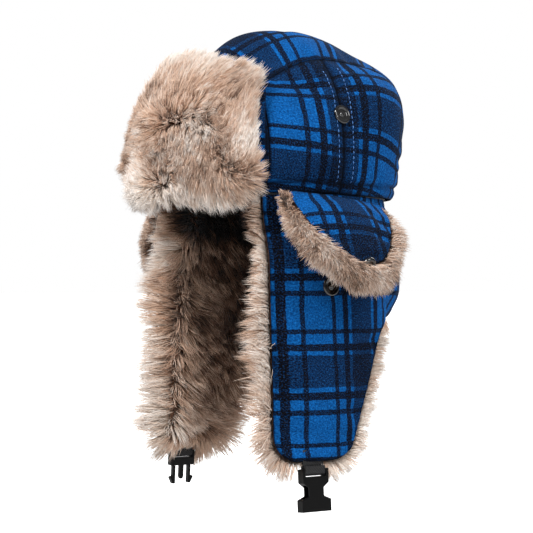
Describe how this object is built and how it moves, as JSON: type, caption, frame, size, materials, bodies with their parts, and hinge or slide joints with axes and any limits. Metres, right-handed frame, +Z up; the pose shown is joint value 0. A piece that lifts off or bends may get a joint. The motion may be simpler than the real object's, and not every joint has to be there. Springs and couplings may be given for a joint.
{
  "type": "trapper hat",
  "caption": "Quilted plaid winter hat with fur-lined folding earflaps, neck curtain, turned-up fur visor, snap ear covers and a side-release chin buckle.",
  "frame": {"origin": "centre of the head opening, level with the crown's lower seam", "axes": "+Z up out of the crown, -Y the wearer's front, +X the wearer's left"},
  "size_m": [0.3018, 0.2527, 0.4125],
  "materials": {
    "plaid_cloth": "brushed woollen twill, blue and black check",
    "fur": "long faux fur, tan with dark tips",
    "wadding": "polyester wadding",
    "lining": "smooth quilted lining",
    "binding": "ribbed tape",
    "snap_metal": "glossy black enamel",
    "webbing": "woven nylon webbing",
    "buckle_plastic": "satin acetal"
  },
  "bodies": {
    "crown": {"crown_left_front_panel": "plaid_cloth", "crown_left_rear_panel": "plaid_cloth", "crown_right_front_panel": "plaid_cloth", "crown_right_rear_panel": "plaid_cloth", "crown_centre_panel": "plaid_cloth", "crown_padding": "wadding", "crown_lining": "lining", "opening_binding": "binding", "crown_snap_studs": "snap_metal", "crown_snap_plates": "snap_metal"},
    "visor": {"visor_backing": "plaid_cloth", "visor_fur": "fur"},
    "neck_flap": {"neck_shell": "plaid_cloth", "neck_padding": "wadding", "neck_fur": "fur"},
    "left_earflap": {"left_flap_shell": "plaid_cloth", "left_flap_padding": "wadding", "left_flap_fur": "fur", "left_flap_snap_stud": "snap_metal", "left_flap_snap_plate": "snap_metal"},
    "left_ear_cover": {"left_cover_shell": "plaid_cloth", "left_cover_fur": "fur", "left_cover_snap_socket": "snap_metal", "left_cover_snap_plate": "snap_metal"},
    "left_strap": {"left_strap_webbing": "webbing"},
    "right_earflap": {"right_flap_shell": "plaid_cloth", "right_flap_padding": "wadding", "right_flap_fur": "fur", "right_flap_snap_stud": "snap_metal", "right_flap_snap_plate": "snap_metal"},
    "right_ear_cover": {"right_cover_shell": "plaid_cloth", "right_cover_fur": "fur", "right_cover_snap_socket": "snap_metal", "right_cover_snap_plate": "snap_metal"},
    "right_strap": {"right_strap_webbing": "webbing"},
    "left_buckle": {"buckle_socket": "buckle_plastic"},
    "right_buckle": {"buckle_plug": "buckle_plastic"},
    "rear_arm": {"buckle_arm_rear": "buckle_plastic"},
    "front_arm": {"buckle_arm_front": "buckle_plastic"}
  },
  "joints": [
    {"name": "visor_fold", "type": "hinge", "parent": "crown", "child": "visor", "pos_m": [0, -0.1165, -0.0085], "axis": [1, 0, 0], "range_deg": [0, 110]},
    {"name": "neck_flap_fold", "type": "hinge", "parent": "crown", "child": "neck_flap", "pos_m": [0, 0.119, 0], "axis": [1, 0, 0], "range_deg": [0, 110]},
    {"name": "left_earflap_fold", "type": "hinge", "parent": "crown", "child": "left_earflap", "pos_m": [0.092, 0, 0], "axis": [0, -1, 0], "range_deg": [0, 110]},
    {"name": "left_ear_cover_fold", "type": "hinge", "parent": "left_earflap", "child": "left_ear_cover", "pos_m": [0.0965, 0, -0.006], "axis": [0, 0.9945, -0.1045], "range_deg": [-130, 12]},
    {"name": "left_strap_swing", "type": "hinge", "parent": "left_earflap", "child": "left_strap", "pos_m": [0.10236, -0.03, -0.22643], "axis": [0, -1, 0], "range_deg": [-45, 60]},
    {"name": "left_buckle_pivot", "type": "hinge", "parent": "left_strap", "child": "left_buckle", "pos_m": [0.10278, -0.03, -0.23231], "axis": [0, 1, 0], "range_deg": [-70, 70]},
    {"name": "right_earflap_fold", "type": "hinge", "parent": "crown", "child": "right_earflap", "pos_m": [-0.092, 0, 0], "axis": [0, 1, 0], "range_deg": [0, 110]},
    {"name": "right_ear_cover_fold", "type": "hinge", "parent": "right_earflap", "child": "right_ear_cover", "pos_m": [-0.0965, 0, -0.006], "axis": [0, -0.9945, 0.1045], "range_deg": [-130, 12]},
    {"name": "right_strap_swing", "type": "hinge", "parent": "right_earflap", "child": "right_strap", "pos_m": [-0.10236, -0.03, -0.22643], "axis": [0, 1, 0], "range_deg": [-45, 60]},
    {"name": "right_buckle_pivot", "type": "hinge", "parent": "right_strap", "child": "right_buckle", "pos_m": [-0.10278, -0.03, -0.23231], "axis": [0, -1, 0], "range_deg": [-70, 70]},
    {"name": "rear_arm_squeeze", "type": "hinge", "parent": "right_buckle", "child": "rear_arm", "pos_m": [-0.10356, -0.0218, -0.24359], "axis": [-0.9976, 0, 0.0698], "range_deg": [0, 8]},
    {"name": "front_arm_squeeze", "type": "hinge", "parent": "right_buckle", "child": "front_arm", "pos_m": [-0.10356, -0.0382, -0.24359], "axis": [0.9976, 0, -0.0698], "range_deg": [0, 8]}
  ]
}
